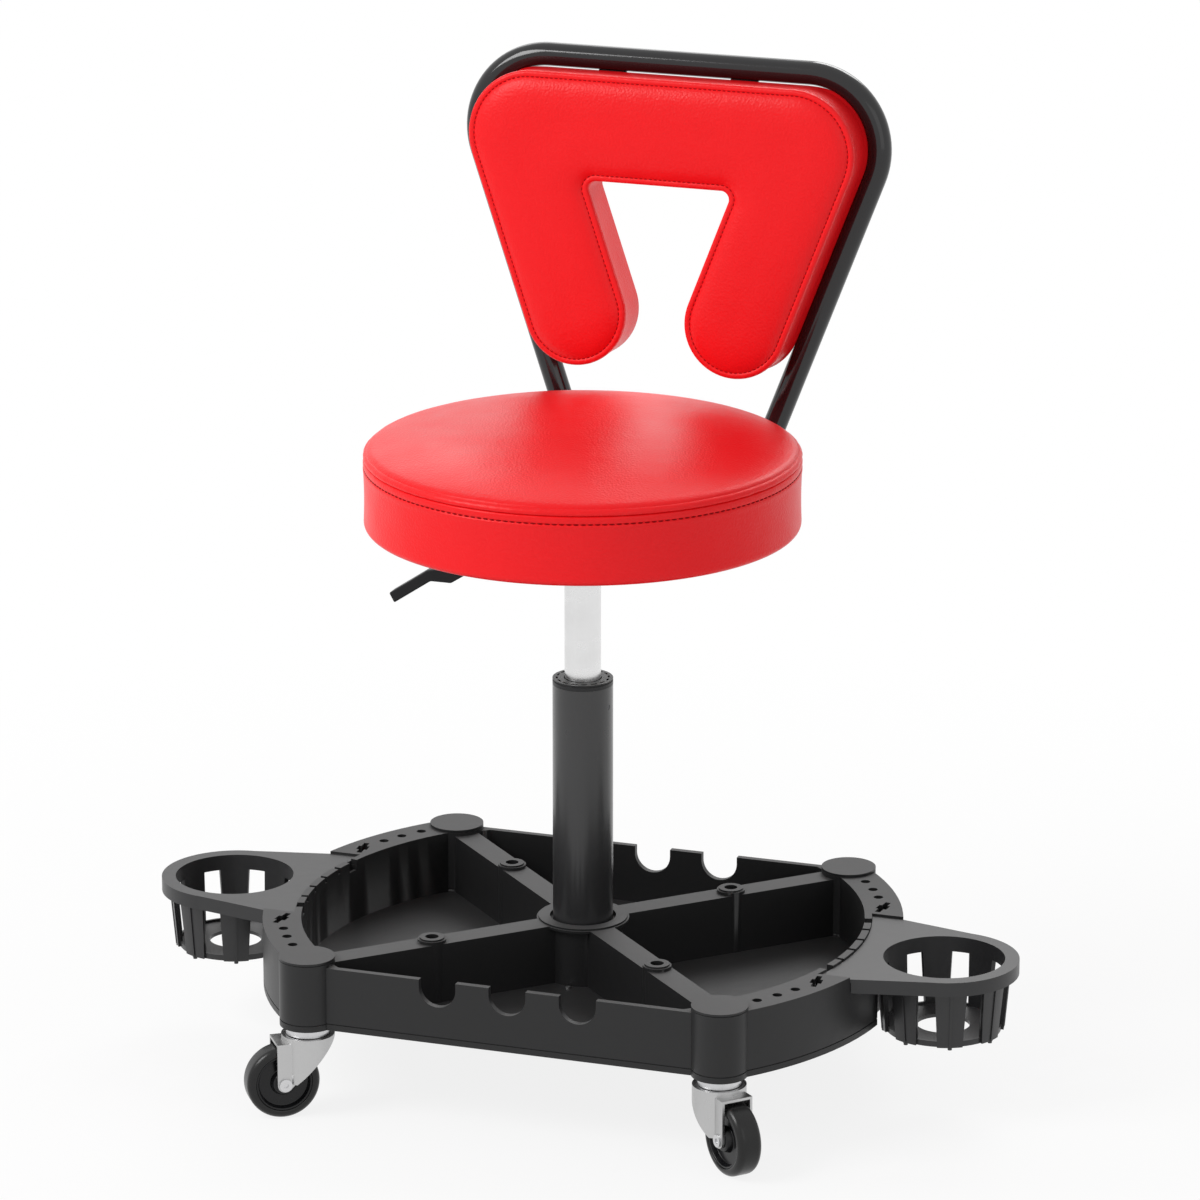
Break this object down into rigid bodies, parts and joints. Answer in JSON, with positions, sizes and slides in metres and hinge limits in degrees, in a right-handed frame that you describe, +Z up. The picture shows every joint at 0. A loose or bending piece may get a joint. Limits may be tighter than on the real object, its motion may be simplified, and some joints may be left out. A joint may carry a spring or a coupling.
{
  "type": "rolling workshop seat",
  "caption": "Padded round stool seat with a padded backrest in a bent tube frame, on a gas lift column over a moulded tool tray with swivel casters and clip-on cup holders.",
  "frame": {"origin": "on the floor, under the axis of the column", "axes": "+X to the right cup holder, +Y to the backrest, +Z up along the column"},
  "size_m": [0.747, 0.4749, 0.8126],
  "materials": {
    "tray_plastic": "moulded black polypropylene, fine grain on top faces, satin walls",
    "column_black": "gloss black powder coat",
    "cap_plastic": "black moulded cap",
    "cylinder_steel": "polished plated steel",
    "rod_steel": "ground and plated steel",
    "dark_steel": "black oxide steel",
    "bearing_steel": "ground bearing steel",
    "brass": "plain brass",
    "bush_plastic": "acetal bush",
    "zinc_steel": "zinc plated fasteners",
    "fork_zinc": "satin zinc plated pressed steel",
    "frame_paint": "gloss black powder coat on tube",
    "red_vinyl": "red vinyl with a fine leather grain",
    "plywood": "plain plywood",
    "wheel_core": "glossy black moulding",
    "tyre_black": "hard glossy black tread",
    "lever_plastic": "black lever grip",
    "plug_rubber": "black tube plug"
  },
  "bodies": {
    "base": {"tray": "tray_plastic", "hub_sleeve": "dark_steel", "sleeve_screws": "zinc_steel", "column_tube": "column_black", "column_floor": "dark_steel", "column_bush": "bush_plastic", "bush_screws": "dark_steel", "column_cap": "cap_plastic", "bearing_washer_lower": "bearing_steel", "bearing_cage": "brass", "bearing_balls": "bearing_steel", "caster_sockets": "zinc_steel", "caster_stems": "bearing_steel", "caster_balls": "bearing_steel", "cup_holder_left": "tray_plastic", "cup_holder_right": "tray_plastic"},
    "spindle": {"piston_rod": "rod_steel", "piston": "dark_steel", "bearing_washer_upper": "bearing_steel", "rod_clip": "dark_steel"},
    "seat": {"gas_cylinder": "cylinder_steel", "rod_guide": "brass", "valve_block": "zinc_steel", "cylinder_socket": "dark_steel", "seat_plate": "dark_steel", "seat_bolts": "zinc_steel", "tee_nuts": "zinc_steel", "seat_board": "plywood", "seat_cushion": "red_vinyl", "lever_pin": "zinc_steel", "backrest_frame": "frame_paint", "frame_bolts": "zinc_steel", "tube_plugs": "plug_rubber", "pad_tabs": "dark_steel", "pad_screws": "zinc_steel", "backrest_board": "plywood", "backrest_pad": "red_vinyl"},
    "lever": {"lever_arm": "frame_paint", "lever_grip": "lever_plastic"},
    "pin": {"release_pin": "rod_steel"},
    "caster_front_left": {"fork_front_left": "fork_zinc", "axle_front_left": "fork_zinc"},
    "wheel_front_left": {"wheel_core_front_left": "wheel_core", "tyre_front_left": "tyre_black"},
    "caster_front_right": {"fork_front_right": "fork_zinc", "axle_front_right": "fork_zinc"},
    "wheel_front_right": {"wheel_core_front_right": "wheel_core", "tyre_front_right": "tyre_black"},
    "caster_rear_right": {"fork_rear_right": "fork_zinc", "axle_rear_right": "fork_zinc"},
    "wheel_rear_right": {"wheel_core_rear_right": "wheel_core", "tyre_rear_right": "tyre_black"},
    "caster_rear_left": {"fork_rear_left": "fork_zinc", "axle_rear_left": "fork_zinc"},
    "wheel_rear_left": {"wheel_core_rear_left": "wheel_core", "tyre_rear_left": "tyre_black"}
  },
  "joints": [
    {"name": "seat_swivel", "type": "hinge", "parent": "base", "child": "spindle", "pos_m": [0, 0, 0.09], "axis": [0, 0, 1], "continuous": true},
    {"name": "seat_height", "type": "slide", "parent": "spindle", "child": "seat", "axis": [0, 0, 1], "range_m": [-0.08, 0.035]},
    {"name": "lever_lift", "type": "hinge", "parent": "seat", "child": "lever", "pos_m": [-0.028, 0, 0.45805], "axis": [0, 1, 0], "range_deg": [0, 8], "stiffness_Nm_per_rad": 0.6, "springref_deg": -8.59},
    {"name": "pin_press", "type": "slide", "parent": "seat", "child": "pin", "axis": [0, 0, 1], "range_m": [-0.0046, 0]},
    {"name": "swivel_front_left", "type": "hinge", "parent": "base", "child": "caster_front_left", "pos_m": [-0.17678, -0.17678, 0.07], "axis": [0, 0, 1], "continuous": true},
    {"name": "roll_front_left", "type": "hinge", "parent": "caster_front_left", "child": "wheel_front_left", "pos_m": [-0.19521, -0.18968, 0.0305], "axis": [0.5736, -0.8192, 0], "continuous": true},
    {"name": "swivel_front_right", "type": "hinge", "parent": "base", "child": "caster_front_right", "pos_m": [0.17678, -0.17678, 0.07], "axis": [0, 0, 1], "continuous": true},
    {"name": "roll_front_right", "type": "hinge", "parent": "caster_front_right", "child": "wheel_front_right", "pos_m": [0.1935, -0.19183, 0.0305], "axis": [0.6691, 0.7431, 0], "continuous": true},
    {"name": "swivel_rear_right", "type": "hinge", "parent": "base", "child": "caster_rear_right", "pos_m": [0.17678, 0.17678, 0.07], "axis": [0, 0, 1], "continuous": true},
    {"name": "roll_rear_right", "type": "hinge", "parent": "caster_rear_right", "child": "wheel_rear_right", "pos_m": [0.16553, 0.19626, 0.0305], "axis": [-0.866, -0.5, 0], "continuous": true},
    {"name": "swivel_rear_left", "type": "hinge", "parent": "base", "child": "caster_rear_left", "pos_m": [-0.17678, 0.17678, 0.07], "axis": [0, 0, 1], "continuous": true},
    {"name": "roll_rear_left", "type": "hinge", "parent": "caster_rear_left", "child": "wheel_rear_left", "pos_m": [-0.17095, 0.19851, 0.0305], "axis": [-0.9659, 0.2588, 0], "continuous": true}
  ],
  "couplings": [
    {"joint": "pin_press", "follows": "lever_lift", "m_per_rad": -0.0314}
  ]
}
